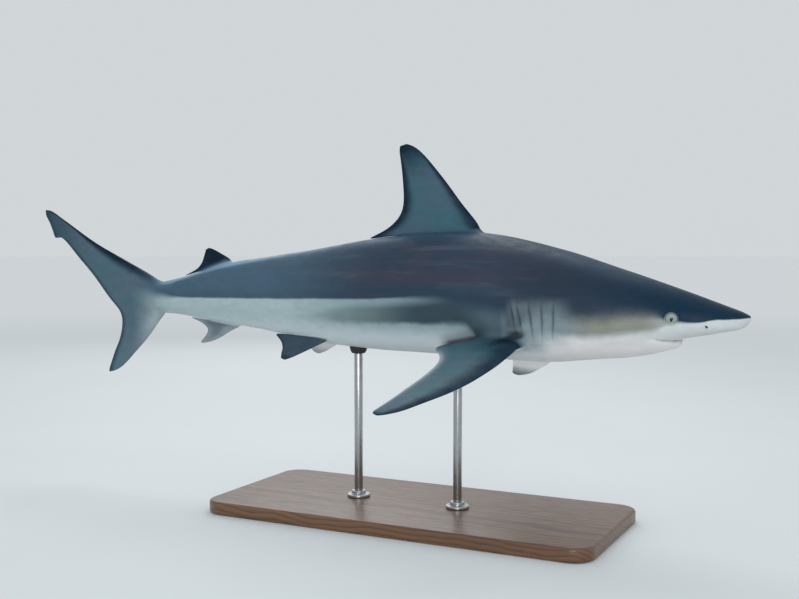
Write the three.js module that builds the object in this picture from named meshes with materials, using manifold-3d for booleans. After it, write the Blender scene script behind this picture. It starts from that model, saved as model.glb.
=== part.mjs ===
// Blacktip shark, life size, swimming level on a plain display stand.
// Millimetres, +Z up. +X points to the snout, +Y to the shark's left, and the floor is Z = 0.
// On the shark, s is the distance behind the snout tip, y the distance to the left of the
// mid-plane and h the height above the snout tip.
import * as THREE from 'three';
import { mergeVertices } from 'three/addons/utils/BufferGeometryUtils.js';
import Module from 'manifold-3d';

const wasm = await Module();
wasm.setup();

// ---- driving dimensions ----

const snoutX = 762;
const snoutHeight = 400;
const stalkEnd = 1196;
const gap = 0.3;

// Body sections: back and belly heights, half width, height of the widest line as a share of
// the depth, and how square the upper and lower halves are (2 is an ellipse).
const bodySections = [
  { s: 2.4, back: -3.5, belly: -7.5, half: 2, wide: 0.55, upper: 2, lower: 2 },
  { s: 12, back: 2, belly: -21, half: 18, wide: 0.46, upper: 2, lower: 2.3 },
  { s: 50, back: 16, belly: -31.5, half: 39, wide: 0.4, upper: 2, lower: 2.7 },
  { s: 119, back: 40, belly: -45.5, half: 60, wide: 0.42, upper: 2.1, lower: 2.8 },
  { s: 220, back: 73, belly: -74, half: 83, wide: 0.45, upper: 2.1, lower: 2.4 },
  { s: 320, back: 104, belly: -92, half: 97, wide: 0.46, upper: 2, lower: 2.3 },
  { s: 470, back: 134, belly: -91.7, half: 105, wide: 0.48, upper: 2, lower: 2.15 },
  { s: 560, back: 135, belly: -88.8, half: 102, wide: 0.48, upper: 2, lower: 2.15 },
  { s: 700, back: 122, belly: -86, half: 88, wide: 0.48, upper: 2, lower: 2.15 },
  { s: 830, back: 101, belly: -76, half: 69, wide: 0.48, upper: 2, lower: 2.1 },
  { s: 950, back: 84, belly: -58, half: 51, wide: 0.48, upper: 2, lower: 2.1 },
  { s: 1070, back: 62, belly: -46, half: 37, wide: 0.48, upper: 2, lower: 2 },
  { s: 1140, back: 44, belly: -36, half: 29, wide: 0.48, upper: 2, lower: 2 },
  { s: stalkEnd, back: 32, belly: -33, half: 24, wide: 0.5, upper: 2, lower: 2 },
];
const bodyRings = 38;
const bodySides = 24;
const ringCrowding = 1.55;

// Where the body is parted.
const gillsStart = 292;
const trunkStart = 388;
const trunkMiddle = 655;
const stalkStart = 935;

// Mouth and lower jaw.
const jaw = {
  gap: 0.5, front: 112, rear: 288, reach: 60, halfWidth: 60.5, roof: -41,
  depth: 14.5, lipShare: 0.45, lipFades: [132, 175], depthFades: [140, 300],
};

// The eyeball is a flattened sphere whose flat side follows the cheek, turned a little forwards.
const eye = { s: 118, h: -7, across: 13, deep: 8, proud: 2.7, turn: 0.26 };
const nostril = { s: 65, h: -19, length: 7, width: 2.6, turn: 0.5 };

// Gill slits of one side, front to back: top and bottom ends as [s, h].
const gillSlits = [
  { top: [307, 15], bottom: [311, -50] },
  { top: [328, 15], bottom: [328, -48] },
  { top: [350, 14], bottom: [344, -49] },
  { top: [371, 13], bottom: [361, -44] },
  { top: [382, 14], bottom: [373, -36] },
];
const slit = { width: 2.4, depth: 5, outside: 4, bow: 3, steps: 3 };

// A fin is a row of ribs from its root outwards: leading point and trailing point in the fin's
// own plane, as [along the body, away from the body].
const firstDorsal = {
  ribs: [
    [[470, 108], [634, 98]],
    [[477, 138], [640, 122]],
    [[485, 153], [703, 124.5]],
    [[499, 170], [667, 141]],
    [[516, 190], [641, 162.5]],
    [[536, 216], [631, 188]],
    [[559, 244], [632, 225]],
    [[586, 274], [636, 262]],
    [[607, 291.5], [639.5, 284]],
    [[625, 298.5], [638, 295]],
  ],
  rootHalf: 12, tipHalf: 1.3, chordSteps: 8, spanSteps: 13,
};
const secondDorsal = {
  ribs: [
    [[1020, 60], [1086, 45]],
    [[1022, 80], [1090, 56]],
    [[1031, 84.5], [1138, 47]],
    [[1042, 90], [1111, 59.5]],
    [[1056, 96.3], [1097, 72]],
    [[1068, 101.5], [1090.5, 86]],
    [[1077, 103.5], [1085, 99.5]],
  ],
  rootHalf: 6, tipHalf: 1, chordSteps: 6, spanSteps: 9,
};
const analFin = {
  ribs: [
    [[1000, -36], [1066, -30]],
    [[1003, -54], [1072, -43]],
    [[1014, -60], [1125, -41]],
    [[1031, -68], [1098, -50.5]],
    [[1051, -79.5], [1083, -61.5]],
    [[1073, -88], [1085.5, -74.5]],
    [[1096, -92.7], [1099, -88.5]],
  ],
  rootHalf: 6, tipHalf: 1, chordSteps: 6, spanSteps: 9,
};
const pectoral = {
  ribs: [
    [[-6, -34], [74, -34]],
    [[0, 0], [80, 0]],
    [[4, 18], [98, 16]],
    [[9, 40], [142, 43]],
    [[16, 65], [125.5, 69]],
    [[24, 89], [120, 94]],
    [[44, 134], [127.5, 133]],
    [[68, 172], [142, 176]],
    [[95, 204], [152, 206]],
    [[121, 234], [162, 232]],
    [[143, 250], [167, 246]],
    [[157, 256], [166, 253]],
  ],
  origin: [362, 86, -54], insertion: [437, 88, -49], tip: [523, 321, -155],
  rootHalf: 11, tipHalf: 1.2, chordSteps: 7, spanSteps: 15,
  length: 256, leftDroop: 8,
};
const pelvic = {
  ribs: [
    [[-4, -22], [70, -22]],
    [[0, 0], [76, -2]],
    [[12, 10], [130, 0]],
    [[28, 22.5], [111, 13]],
    [[47, 36], [98.5, 29]],
    [[65, 48.5], [94.5, 43]],
    [[80, 55.5], [90, 53]],
  ],
  origin: [770, 38, -68], insertion: [845, 30.5, -66.5], tip: [859, 65, -109],
  rootHalf: 6, tipHalf: 1, chordSteps: 6, spanSteps: 8,
  length: 53, leftDroop: 0,
};

// Tail fin margins as [s, h].
const tailFin = {
  dorsalMargin: [
    [1196.3, 32], [1212, 35.5], [1233, 47.5], [1313, 83], [1383, 115.5], [1467, 164], [1505, 185],
    [1523, 187.5],
  ],
  rearMargin: [
    [1523, 187.5], [1523.5, 176], [1511, 155.5], [1502, 136.5], [1497, 125], [1487, 127], [1476, 127.5],
    [1468, 120.5], [1436, 88.5], [1386.5, 43], [1345, -3], [1328, -19], [1313, -35], [1308, -51],
    [1312, -77], [1319.5, -99.5], [1330, -119], [1340.5, -144], [1347, -161], [1346.5, -168.5],
  ],
  lowerMargin: [
    [1196.3, -36], [1207, -48], [1224.5, -70], [1241.5, -89.5], [1276, -123.5], [1293.5, -140.5],
    [1311, -155], [1328.5, -164.5], [1346.5, -168.5],
  ],
  fork: [1304, -54],
  stalkHalf: 24, ridgeHalf: 6.5, edgeHalf: 0.6, alongSteps: 11, acrossSteps: 20,
};

// Display stand.
const base = { length: 760, width: 330, height: 25, corner: 40, bevel: 3, centreS: 600 };
const rodRadius = 8;
const rods = [
  { name: 'front', s: 520 },
  { name: 'rear', s: 728 },
];
const collar = { radius: 22, height: 12, chamfer: 3 };
const cup = { radius: 17, height: 12 };

// ---- shared helpers ----

function place(s, y, h) {
  return new THREE.Vector3(snoutX - s, y, snoutHeight + h);
}

function lerp(a, b, share) {
  return a + (b - a) * share;
}

// Moves every vertex of a closed three.js shape to its place on the model.
function reshape(geometry, move) {
  geometry.deleteAttribute('normal');
  geometry.deleteAttribute('uv');
  geometry.clearGroups();
  const positions = geometry.attributes.position;
  const from = new THREE.Vector3();
  for (let i = 0; i < positions.count; i += 1) {
    from.fromBufferAttribute(positions, i);
    const to = move(from);
    positions.setXYZ(i, to.x, to.y, to.z);
  }
  return mergeVertices(geometry, 1e-3);
}

function toSolid(geometry) {
  const vertProperties = Float32Array.from(geometry.attributes.position.array);
  const triVerts = Uint32Array.from(geometry.index.array);
  const solid = new wasm.Manifold(new wasm.Mesh({ numProp: 3, vertProperties, triVerts }));
  if (solid.volume() > 0) {
    return solid;
  }
  return new wasm.Manifold(new wasm.Mesh({ numProp: 3, vertProperties, triVerts: triVerts.reverse() }));
}

function toGeometry(solid) {
  const mesh = solid.getMesh();
  const geometry = new THREE.BufferGeometry();
  geometry.setAttribute('position', new THREE.BufferAttribute(mesh.vertProperties, 3));
  geometry.setIndex(new THREE.BufferAttribute(mesh.triVerts, 1));
  return geometry;
}

// A box between two distances behind the snout, wide and tall enough for the whole shark.
function slabSolid(fromS, toS) {
  const reach = 1000;
  const geometry = new THREE.BoxGeometry(toS - fromS, reach, reach);
  const centre = place((fromS + toS) / 2, 0, 0);
  return toSolid(reshape(geometry, (point) => point.clone().add(centre)));
}

// ---- body ----

const sectionKeys = ['back', 'belly', 'half', 'wide', 'upper', 'lower'];
const sectionCurve = new THREE.CubicInterpolant(
  Float32Array.from(bodySections, (section) => Math.sqrt(section.s)),
  Float32Array.from(bodySections.flatMap((section) => sectionKeys.map((key) => section[key]))),
  sectionKeys.length,
);

function sectionAt(s) {
  const values = sectionCurve.evaluate(Math.sqrt(s));
  const [back, belly, half, wide, upper, lower] = values;
  return { back, belly, half, middle: lerp(belly, back, wide), upper, lower };
}

// Half width of the body at a height.
function sideAt(s, h) {
  const section = sectionAt(s);
  const above = h > section.middle;
  const reach = above ? section.back - section.middle : section.middle - section.belly;
  const power = above ? section.upper : section.lower;
  const share = Math.min(Math.abs(h - section.middle) / reach, 1);
  return section.half * (1 - share ** power) ** (1 / power);
}

// Height of the body's underside at a distance from the mid-plane.
function undersideAt(s, y) {
  const section = sectionAt(s);
  const share = Math.min(Math.abs(y) / section.half, 1);
  return section.middle - (section.middle - section.belly) * (1 - share ** section.lower) ** (1 / section.lower);
}

function bodySolid(grow) {
  const geometry = new THREE.CylinderGeometry(1, 1, 1, bodySides, bodyRings);
  return toSolid(reshape(geometry, (point) => {
    const s = lerp(bodySections[0].s, stalkEnd, (0.5 - point.y) ** ringCrowding);
    const section = sectionAt(s);
    const radius = Math.hypot(point.x, point.z);
    if (radius < 0.5) {
      return place(s, 0, section.middle);
    }
    const power = point.z > 0 ? section.upper : section.lower;
    const reach = point.z > 0 ? section.back - section.middle : section.middle - section.belly;
    const y = (section.half + grow) * Math.sign(point.x) * Math.abs(point.x) ** (2 / power);
    const h = section.middle + (reach + grow) * Math.sign(point.z) * Math.abs(point.z) ** (2 / power);
    return place(s, y, h);
  }));
}

// Lower jaw and throat: a plate under the mouth whose front is half an ellipse and whose underside
// stands below the head as the chin does. The cutter is the same plate with the gap round it.
function jawSolid(grow, below) {
  const geometry = new THREE.BoxGeometry(1, 1, 1, 11, 8, 1);
  return toSolid(reshape(geometry, (point) => {
    const along = (point.x + 0.5) ** 1.8;
    const s = lerp(jaw.front, jaw.rear, along);
    const ahead = along < 1 ? -grow : grow;
    const reached = THREE.MathUtils.clamp((s - jaw.front) / jaw.reach, 0.005, 1);
    const half = jaw.halfWidth * Math.sqrt(1 - (1 - reached) ** 2);
    const across = point.y * 2;
    const y = (half + grow) * across;
    if (point.z > 0) {
      return place(s + ahead, y, jaw.roof + grow);
    }
    const lip = jaw.lipShare * (1 - THREE.MathUtils.smoothstep(s, ...jaw.lipFades));
    const rise = 1 - 0.36 * Math.exp((jaw.front - s) / 6);
    const fall = 1 - THREE.MathUtils.smoothstep(s, ...jaw.depthFades);
    const chin = jaw.depth * rise * fall * (lip + (1 - lip) * (1 - across ** 2));
    return place(s + ahead, y, undersideAt(s, half * across) - chin - below);
  }));
}

function eyeSolid(side, grow) {
  const geometry = new THREE.SphereGeometry(1, 14, 8);
  const inset = eye.deep - eye.proud;
  const behind = eye.s + inset * Math.sin(eye.turn);
  const centre = place(behind, side * (sideAt(eye.s, eye.h) - inset * Math.cos(eye.turn)), eye.h);
  const size = new THREE.Vector3(eye.across + grow, eye.deep + grow, eye.across + grow);
  const turn = new THREE.Euler(0, 0, -side * eye.turn);
  return toSolid(reshape(geometry, (point) => point.clone().multiply(size).applyEuler(turn).add(centre)));
}

function nostrilSolid(side) {
  const geometry = new THREE.SphereGeometry(1, 8, 5);
  const centre = place(nostril.s, side * (sideAt(nostril.s, nostril.h) - 0.5), nostril.h);
  const size = new THREE.Vector3(nostril.length, nostril.width * 2, nostril.width);
  const lean = new THREE.Euler(0, nostril.turn, 0);
  return toSolid(reshape(geometry, (point) => point.clone().multiply(size).applyEuler(lean).add(centre)));
}

// A gill slit as a curved blade sunk into the flank.
function slitSolid(ends, side) {
  const geometry = new THREE.BoxGeometry(1, 1, 1, 1, 1, slit.steps);
  return toSolid(reshape(geometry, (point) => {
    const down = 0.5 - point.z;
    const bow = slit.bow * Math.sin(Math.PI * down);
    const s = lerp(ends.top[0], ends.bottom[0], down) - bow - point.x * slit.width;
    const h = lerp(ends.top[1], ends.bottom[1], down);
    const depth = point.y < 0 ? -slit.depth : slit.outside;
    return place(s, side * (sideAt(s, h) + depth), h);
  }));
}

// ---- fins ----

// Thickness share along a chord: round in front, fullest at a third, thin behind.
function foil(share) {
  const x = Math.min(Math.max(share, 0), 1);
  const polynomial = 0.2969 * Math.sqrt(x) - 0.126 * x - 0.3516 * x ** 2 + 0.2843 * x ** 3 - 0.1036 * x ** 4;
  return 10 * polynomial;
}

// Even steps turned into steps that crowd towards both ends.
function crowd(share) {
  return (1 - Math.cos(Math.PI * share)) / 2;
}

function ribCurve(ribs, end) {
  const points = ribs.map((rib) => new THREE.Vector3(rib[end][0], rib[end][1], 0));
  return new THREE.CatmullRomCurve3(points, false, 'centripetal');
}

// A fin from its ribs. toSpace puts a point of the fin's plane, with its half thickness, in place.
function finSolid(fin, toSpace) {
  const edgeHalf = 0.5;
  const lead = ribCurve(fin.ribs, 0);
  const trail = ribCurve(fin.ribs, 1);
  const geometry = new THREE.BoxGeometry(1, 1, 1, fin.chordSteps, fin.spanSteps, 1);
  return toSolid(reshape(geometry, (point) => {
    const span = point.y + 0.5;
    const chord = crowd(point.x + 0.5);
    const flat = lead.getPoint(span).lerp(trail.getPoint(span), chord);
    const half = fin.tipHalf + (fin.rootHalf - fin.tipHalf) * (1 - span) ** 1.3;
    return toSpace(flat.x, flat.y, 2 * point.z * (edgeHalf + half * foil(chord)));
  }));
}

function midlineFin(fin, body) {
  return finSolid(fin, (s, h, half) => place(s, half, h)).subtract(body);
}

// A paired fin lies in the plane through its origin, insertion and tip. side is 1 for the left,
// where the fin's outer part hangs a little lower.
function pairedFin(fin, side, body) {
  const origin = new THREE.Vector3(...fin.origin);
  const chord = new THREE.Vector3(...fin.insertion).sub(origin).normalize();
  const towardsTip = new THREE.Vector3(...fin.tip).sub(origin);
  const normal = chord.clone().cross(towardsTip).normalize();
  const outward = normal.clone().cross(chord);
  return finSolid(fin, (along, away, half) => {
    const at = origin.clone().addScaledVector(chord, along).addScaledVector(outward, away);
    at.addScaledVector(normal, half);
    at.z -= side > 0 ? fin.leftDroop * Math.max(away / fin.length, 0) ** 1.5 : 0;
    return place(at.x, side * at.y, at.z);
  }).subtract(body);
}

function marginCurve(points) {
  const vectors = points.map(([s, h]) => new THREE.Vector3(s, h, 0));
  return new THREE.CatmullRomCurve3(vectors, false, 'centripetal');
}

// The tail fin fills its four margins: along runs from the stalk to the rear margin, down from
// the upper margin to the lower one. It is as thick as the stalk in front and thins behind.
function tailFinSolid() {
  const top = marginCurve(tailFin.dorsalMargin);
  const rear = marginCurve(tailFin.rearMargin);
  const bottom = marginCurve(tailFin.lowerMargin);
  const corner = [top.getPoint(0), top.getPoint(1), bottom.getPoint(0), bottom.getPoint(1)];
  const geometry = new THREE.BoxGeometry(1, 1, 1, tailFin.alongSteps, tailFin.acrossSteps, 1);
  return toSolid(reshape(geometry, (point) => {
    const along = point.x + 0.5;
    const down = crowd(point.y + 0.5);
    const at = new THREE.Vector3();
    at.addScaledVector(top.getPointAt(along), 1 - down);
    at.addScaledVector(bottom.getPointAt(along), down);
    at.addScaledVector(corner[0].clone().lerp(corner[2], down), 1 - along);
    at.addScaledVector(rear.getPointAt(down), along);
    at.addScaledVector(corner[0], -(1 - along) * (1 - down));
    at.addScaledVector(corner[1], -along * (1 - down));
    at.addScaledVector(corner[2], -(1 - along) * down);
    at.addScaledVector(corner[3], -along * down);
    const round = 2 * Math.sqrt(down * (1 - down));
    const stalk = (tailFin.stalkHalf - tailFin.ridgeHalf) * (1 - along) ** 2.2;
    const ridge = tailFin.ridgeHalf * Math.sqrt(1 - along) * lerp(1, 1.3 - 0.6 * down, along);
    const half = tailFin.edgeHalf + round * (stalk + ridge);
    return place(at.x, 2 * point.z * half, at.y);
  }));
}

// Everything below the line from the lower end of the stalk to the fork.
function lowerLobeSpace(shift) {
  const [forkS, forkH] = tailFin.fork;
  const [rootS, rootH] = tailFin.lowerMargin[0];
  const slope = Math.atan2(forkH - rootH - 4, forkS - rootS);
  const size = 800;
  const geometry = new THREE.BoxGeometry(size, size, size);
  geometry.translate(0, 0, -size / 2 + shift);
  geometry.rotateY(slope);
  const centre = place(forkS, 0, forkH);
  return toSolid(reshape(geometry, (point) => point.clone().add(centre)));
}

// ---- stand ----

function baseGeometry() {
  const halfLength = base.length / 2 - base.bevel;
  const halfWidth = base.width / 2 - base.bevel;
  const radius = base.corner - base.bevel;
  const outline = new THREE.Shape();
  outline.absarc(halfLength - radius, halfWidth - radius, radius, 0, Math.PI / 2);
  outline.absarc(radius - halfLength, halfWidth - radius, radius, Math.PI / 2, Math.PI);
  outline.absarc(radius - halfLength, radius - halfWidth, radius, Math.PI, Math.PI * 1.5);
  outline.absarc(halfLength - radius, radius - halfWidth, radius, Math.PI * 1.5, Math.PI * 2);
  const geometry = new THREE.ExtrudeGeometry(outline, {
    depth: base.height - 2 * base.bevel,
    bevelThickness: base.bevel,
    bevelSize: base.bevel,
    bevelSegments: 1,
    curveSegments: 5,
  });
  geometry.translate(snoutX - base.centreS, 0, base.bevel);
  return reshape(geometry, (point) => point.clone());
}

function uprightCylinder(s, radius, bottom, top) {
  const geometry = new THREE.CylinderGeometry(radius, radius, top - bottom, 16);
  geometry.rotateX(Math.PI / 2);
  geometry.translate(snoutX - s, 0, (bottom + top) / 2);
  return toSolid(reshape(geometry, (point) => point.clone()));
}

function collarGeometry(s) {
  const inner = rodRadius + gap;
  const profile = [
    new THREE.Vector2(inner, 0),
    new THREE.Vector2(collar.radius, 0),
    new THREE.Vector2(collar.radius, collar.height - collar.chamfer),
    new THREE.Vector2(collar.radius - collar.chamfer, collar.height),
    new THREE.Vector2(inner, collar.height),
    new THREE.Vector2(inner, 0),
  ];
  const geometry = new THREE.LatheGeometry(profile, 16);
  geometry.rotateX(Math.PI / 2);
  geometry.translate(snoutX - s, 0, base.height + gap);
  return reshape(geometry, (point) => point.clone());
}

// ---- the shark and its stand ----

const group = new THREE.Group();

function addMesh(name, geometry, color, roughness, metalness = 0) {
  const material = new THREE.MeshStandardMaterial({ color, roughness, metalness });
  const mesh = new THREE.Mesh(geometry, material);
  mesh.name = name;
  group.add(mesh);
}

const slate = 0x4a5560;
const flankGrey = 0x6f8087;
const finGrey = 0x4b5d68;
const finDark = 0x2c3a44;

const body = bodySolid(0);
const bodyWithGap = bodySolid(gap);
const jawPocket = jawSolid(jaw.gap, 40);
const sides = { left: 1, right: -1 };

let head = body.intersect(slabSolid(-10, gillsStart)).subtract(jawPocket);
let gills = body.intersect(slabSolid(gillsStart + gap, trunkStart));
for (const side of Object.values(sides)) {
  head = head.subtract(eyeSolid(side, gap)).subtract(nostrilSolid(side));
  for (const ends of gillSlits) {
    gills = gills.subtract(slitSolid(ends, side));
  }
}

addMesh('head', toGeometry(head), slate, 0.5);
addMesh('lower_jaw', toGeometry(jawSolid(0, 0)), 0xc4c8cc, 0.5);
addMesh('gill_region', toGeometry(gills), slate, 0.5);
const trunkFront = body.intersect(slabSolid(trunkStart + gap, trunkMiddle));
const trunkRear = body.intersect(slabSolid(trunkMiddle + gap, stalkStart));
const tailStalk = body.intersect(slabSolid(stalkStart + gap, stalkEnd - gap));
addMesh('trunk_front', toGeometry(trunkFront), slate, 0.5);
addMesh('trunk_rear', toGeometry(trunkRear), flankGrey, 0.5);
addMesh('tail_stalk', toGeometry(tailStalk), flankGrey, 0.5);

addMesh('first_dorsal_fin', toGeometry(midlineFin(firstDorsal, bodyWithGap)), finGrey, 0.5);
addMesh('second_dorsal_fin', toGeometry(midlineFin(secondDorsal, bodyWithGap)), finDark, 0.5);
addMesh('anal_fin', toGeometry(midlineFin(analFin, bodyWithGap)), 0xaab0b3, 0.5);
for (const [sideName, side] of Object.entries(sides)) {
  addMesh(`pectoral_fin_${sideName}`, toGeometry(pairedFin(pectoral, side, bodyWithGap)), finGrey, 0.5);
  addMesh(`pelvic_fin_${sideName}`, toGeometry(pairedFin(pelvic, side, bodyWithGap)), finDark, 0.5);
  addMesh(`eye_${sideName}`, toGeometry(eyeSolid(side, 0)), 0xc8cec2, 0.15);
}

const tail = tailFinSolid();
addMesh('caudal_fin_upper_lobe', toGeometry(tail.subtract(lowerLobeSpace(gap))), finGrey, 0.5);
addMesh('caudal_fin_lower_lobe', toGeometry(tail.intersect(lowerLobeSpace(0))), finGrey, 0.5);

addMesh('stand_base', baseGeometry(), 0x4a3423, 0.4);
for (const rod of rods) {
  const belly = snoutHeight + sectionAt(rod.s).belly;
  const rodTop = belly - cup.height - gap;
  const rodSolid = uprightCylinder(rod.s, rodRadius, base.height + gap, rodTop);
  const cupSolid = uprightCylinder(rod.s, cup.radius, rodTop + gap, belly + cup.height);
  addMesh(`stand_rod_${rod.name}`, toGeometry(rodSolid), 0xb4b8bc, 0.3, 1);
  addMesh(`stand_collar_${rod.name}`, collarGeometry(rod.s), 0xb4b8bc, 0.35, 1);
  addMesh(`stand_cup_${rod.name}`, toGeometry(cupSolid.subtract(bodyWithGap)), 0x1c1c1e, 0.7);
}

export default group;
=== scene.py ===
from math import acos, asin, atan2, copysign, cos, exp, hypot, pi, radians, sin, sqrt

import bmesh
import bpy
import numpy as np
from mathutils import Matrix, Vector


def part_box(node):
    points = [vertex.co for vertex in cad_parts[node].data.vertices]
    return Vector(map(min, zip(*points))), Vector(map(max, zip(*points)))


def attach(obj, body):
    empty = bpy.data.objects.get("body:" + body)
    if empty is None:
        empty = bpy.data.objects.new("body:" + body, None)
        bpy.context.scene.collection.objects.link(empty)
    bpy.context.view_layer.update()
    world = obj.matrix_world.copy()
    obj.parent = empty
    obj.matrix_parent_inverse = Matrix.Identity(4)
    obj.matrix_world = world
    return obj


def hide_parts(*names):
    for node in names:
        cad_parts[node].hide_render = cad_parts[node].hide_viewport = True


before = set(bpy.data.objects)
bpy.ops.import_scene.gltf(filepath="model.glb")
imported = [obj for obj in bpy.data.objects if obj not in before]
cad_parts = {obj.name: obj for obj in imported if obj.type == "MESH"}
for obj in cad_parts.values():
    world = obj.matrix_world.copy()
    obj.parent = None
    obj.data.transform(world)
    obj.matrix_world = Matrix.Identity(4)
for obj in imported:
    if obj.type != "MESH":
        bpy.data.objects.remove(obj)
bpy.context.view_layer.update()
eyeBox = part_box("eye_left")

# Sizes are in millimetres: s runs back from the snout tip, y to the shark's left and h up from
# the level of the snout tip. place() turns them into metres in the frame.
mm = 0.001
snoutTip = 2.4
eyeHeight = -7
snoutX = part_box("head")[1].x + snoutTip * mm
snoutHeight = (eyeBox[0].z + eyeBox[1].z) / 2 - eyeHeight * mm


def place(s, y, h):
    return Vector((snoutX - s * mm, y * mm, snoutHeight + h * mm))


def clamp(value, low=0.0, high=1.0):
    return max(low, min(high, value))


def fade(low, high, value):
    share = clamp((value - low) / (high - low))
    return share * share * (3 - 2 * share)


def mix(a, b, share):
    return a + (b - a) * share


def window(value, rise, start, end, fall):
    return fade(rise, start, value) * (1 - fade(end, fall, value))


# A smooth curve through values given at rising knots.
def curveThrough(knots, values):
    knots = np.array(knots, float)
    values = np.array(values, float)
    if values.ndim == 1:
        values = values[:, None]
    steps = np.diff(knots)[:, None]
    secants = np.diff(values, axis=0) / steps
    slopes = np.zeros_like(values)
    slopes[1:-1] = (secants[:-1] + secants[1:]) / 2
    slopes[0] = 1.5 * secants[0] - 0.5 * slopes[1]
    slopes[-1] = 1.5 * secants[-1] - 0.5 * slopes[-2]

    def at(knot):
        knot = clamp(knot, knots[0], knots[-1])
        i = min(int(np.searchsorted(knots, knot, side="right")) - 1, len(knots) - 2)
        step = knots[i + 1] - knots[i]
        t = (knot - knots[i]) / step
        start = (1 + 2 * t) * (1 - t) ** 2 * values[i] + t * (1 - t) ** 2 * step * slopes[i]
        end = t * t * (3 - 2 * t) * values[i + 1] + t * t * (t - 1) * step * slopes[i + 1]
        return start + end

    return at


# The same through points in space, read by the share of its length.
def evenCurve(points):
    points = np.array(points, float)
    gaps = np.sqrt(np.linalg.norm(np.diff(points, axis=0), axis=1))
    knots = np.concatenate([[0], np.cumsum(gaps)])
    curve = curveThrough(knots, points)
    fine = np.linspace(0, knots[-1], 400)
    dense = np.array([curve(k) for k in fine])
    lengths = np.concatenate([[0], np.cumsum(np.linalg.norm(np.diff(dense, axis=0), axis=1))])
    return lambda share: curve(np.interp(share * lengths[-1], lengths, fine))


# The body's form: half of each ring is built, from the back down to the belly, and mirrored.
body = {
    "rows": 40,
    # s, back, belly, half width, widest line, roundness of the upper and lower half
    "sections": [
        (snoutTip, -3.5, -7.5, 2, 0.55, 2, 2),
        (12, 2, -21, 18, 0.46, 2, 2.3),
        (50, 16, -31.5, 39, 0.4, 2, 2.7),
        (119, 40, -45.5, 60, 0.42, 2.1, 2.8),
        (220, 73, -74, 83, 0.45, 2.1, 2.4),
        (320, 104, -92, 97, 0.46, 2, 2.3),
        (470, 134, -91.7, 105, 0.48, 2, 2.15),
        (560, 135, -88.8, 102, 0.48, 2, 2.15),
        (700, 122, -86, 88, 0.48, 2, 2.15),
        (830, 101, -76, 69, 0.48, 2, 2.1),
        (950, 84, -58, 51, 0.48, 2, 2.1),
        (1070, 62, -46, 37, 0.48, 2, 2),
        (1140, 44, -36, 29, 0.48, 2, 2),
        (1196, 32, -33, 24, 0.5, 2, 2),
    ],
    # ring stations: where each stretch ends and how many rings it has
    "stretches": [
        (6, 3), (36, 9), (98, 15), (138, 10), (156, 6), (196, 10), (292, 14),
        (396, 0), (440, 6), (474, 4), (636, 18), (770, 13), (846, 9), (1001, 15),
        (1021, 2), (1068, 7), (1088, 3), (1196, 14),
    ],
}
sectionCurve = curveThrough(
    [sqrt(row[0]) for row in body["sections"]],
    [row[1:] for row in body["sections"]],
)


def sectionAt(s):
    back, belly, half, wide, upper, lower = sectionCurve(sqrt(max(s, 0)))
    return back, belly, half, mix(belly, back, wide), upper, lower


# Angle 0 is the back and pi the belly.
def sectionPoint(s, angle):
    back, belly, half, middle, upper, lower = sectionAt(s)
    across, up = sin(angle), cos(angle)
    power = upper if up > 0 else lower
    reach = back - middle if up > 0 else middle - belly
    y = half * abs(across) ** (2 / power)
    h = middle + reach * copysign(abs(up) ** (2 / power), up)
    return y, h


def angleAtHeight(s, h):
    back, belly, half, middle, upper, lower = sectionAt(s)
    if h > middle:
        return acos(clamp((h - middle) / (back - middle)) ** (upper / 2))
    return pi - acos(clamp((middle - h) / (middle - belly)) ** (lower / 2))


gills = {
    # s of the upper end and of the lower end of each slit, and the height of its lower end
    "slits": [(307, 311, -50), (328, 328, -48), (350, 344, -49), (371, 361, -44), (382, 373, -36)],
    "start": 292, "end": 396,  # between these s the rings gather at the slits
    "top": 15, "tall": 65, "bow": 3, "flapRise": 1.7, "cut": 4.2,
    "ringOffsets": (-12, -5, -1.5, 0.2, 1.7, 5, 10),
}
mouth = {
    "front": 112, "reach": 60, "halfWidth": 59, "groove": 3.2,
    "chinDepth": 14.5, "lipShare": 0.45,
    "sideRing": 156,  # the ring that the line of the mouth follows
}


def bodyStations():
    stations = [snoutTip]
    for end, steps in body["stretches"]:
        start = stations[-1]
        stations += [mix(start, end, (k + 1) / steps) for k in range(steps)]
        if end == gills["start"]:
            wanted = [top + offset for top, _, _ in gills["slits"] for offset in gills["ringOffsets"]]
            for s in sorted(wanted):
                if s - stations[-1] > 1.3:
                    stations.append(s)
            stations.append(gills["end"])
    return stations


# How far back the mouth's line lies at a distance from the mid-plane.
def mouthLine(y):
    share = clamp(abs(y) / mouth["halfWidth"], 0, 0.98)
    return mouth["front"] + mouth["reach"] * (1 - sqrt(1 - share * share))


# Rings run down the sides straight, but under the head they follow the mouth, and between the
# gills they follow the slits.
def ringAt(station, angle):
    if station < gills["start"]:
        side = mouth["sideRing"]
        y, _ = sectionPoint(140, angle)
        line = mouthLine(y) if angle > pi / 2 else mouthLine(99)
        under = fade(1.75, 2.25, angle)
        line = mix(side, min(line, side), under)
        away = station - side
        tight = 0.22 + 0.78 * clamp(abs(away) / 17) ** 1.6  # rings crowd at the line
        away *= mix(1, tight, under)
        if station <= side:
            pull = clamp((side + away) / side) ** 1.4
        else:
            pull = 1 - fade(0, gills["start"] - side, away)
        return side + away - (side - line) * pull
    if station < 440:
        _, h = sectionPoint(station, angle)
        down = clamp((gills["top"] - h) / gills["tall"])
        lean = np.interp(station, [292, 307, 328, 350, 371, 382, 430], [0, 4, 0, -6, -10, -9, 0])
        bow = gills["bow"] * window(station, 292, 305, 384, 420)
        return station + lean * down - bow * sin(pi * down)
    return station


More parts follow.
